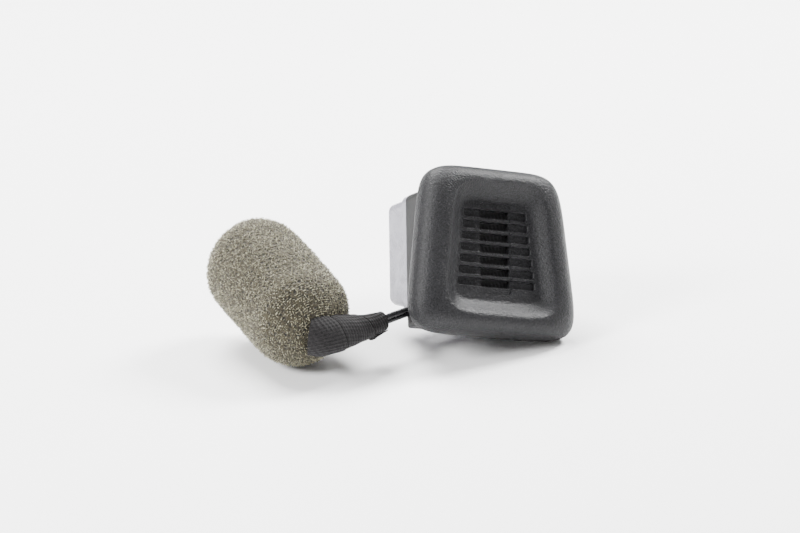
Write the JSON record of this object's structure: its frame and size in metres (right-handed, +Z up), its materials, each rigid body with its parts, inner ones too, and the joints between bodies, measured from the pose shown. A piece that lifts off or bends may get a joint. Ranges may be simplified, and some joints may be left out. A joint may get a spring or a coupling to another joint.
{
  "type": "microphone",
  "caption": "Clip-in hands-free microphone with a pillow-shaped slotted grille cap, a pale rear housing and a short two-wire lead to a foam-wrapped plug.",
  "frame": {"origin": "the table under the middle of the microphone unit, without its lead, as it lies", "axes": "+Z up off the table, +X to the right as seen from in front of the grille, +Y to the back"},
  "size_m": [0.0895, 0.0603, 0.0436],
  "materials": {
    "cap_plastic": "finely grained black ABS",
    "carrier_plastic": "black ABS",
    "housing_plastic": "pale grey polished ABS",
    "black_rubber": "soft black rubber",
    "mesh_cloth": "acoustic cloth",
    "capsule_metal": "drawn aluminium",
    "board": "glass epoxy board",
    "steel": "plated steel",
    "brass": "tinned brass",
    "chip_ceramic": "ceramic chip",
    "nylon": "natural nylon",
    "wire_pvc": "glossy black PVC over copper",
    "foam": "open-cell polyurethane foam, olive grey",
    "cloth_tape": "woven black cloth tape",
    "film": "metallised polyester film"
  },
  "bodies": {
    "unit": {"grille_cap": "cap_plastic", "grille_mesh": "mesh_cloth", "mesh_frame": "carrier_plastic", "carrier": "carrier_plastic", "panel_seal": "black_rubber", "rear_housing": "housing_plastic", "capsule_boot": "black_rubber", "capsule_can": "capsule_metal", "capsule_felt": "mesh_cloth", "capsule_pins": "brass", "preamp_board": "board", "board_screws": "steel", "chip_capacitors": "chip_ceramic", "chip_resistors": "carrier_plastic", "output_transistor": "carrier_plastic", "electrolytic_capacitor": "capsule_metal", "diaphragm_ring": "brass", "diaphragm": "film", "spacer_ring": "film", "back_plate": "brass", "back_plate_holder": "nylon", "gate_ring": "brass", "fet": "carrier_plastic", "capsule_board": "board", "lead_grommet": "black_rubber", "lead_header": "nylon", "strain_tie": "carrier_plastic", "wire_signal": "wire_pvc", "wire_ground": "wire_pvc", "plug_housing": "nylon", "plug_terminals": "brass", "terminal_lock": "nylon", "foam_wrap": "foam", "tape_wrap": "cloth_tape"},
    "top_clip": {"panel_clip_top": "carrier_plastic"},
    "bottom_clip": {"panel_clip_bottom": "carrier_plastic"},
    "latch": {"plug_latch": "nylon"}
  },
  "joints": [
    {"name": "clip_top_flex", "type": "hinge", "parent": "unit", "child": "top_clip", "pos_m": [-0.00345, 0.01172, 0.03106], "axis": [0.8742, 0.4178, -0.2475], "range_deg": [0, 10], "stiffness_Nm_per_rad": 0.02},
    {"name": "clip_bottom_flex", "type": "hinge", "parent": "unit", "child": "bottom_clip", "pos_m": [-0.00299, -0.00458, 0.00516], "axis": [-0.8742, -0.4178, 0.2475], "range_deg": [0, 10], "stiffness_Nm_per_rad": 0.02},
    {"name": "plug_latch_flex", "type": "hinge", "parent": "unit", "child": "latch", "pos_m": [-0.05018, -0.01422, 0.01493], "axis": [-0.1458, 0.228, -0.9627], "range_deg": [0, 6], "stiffness_Nm_per_rad": 0.02}
  ]
}
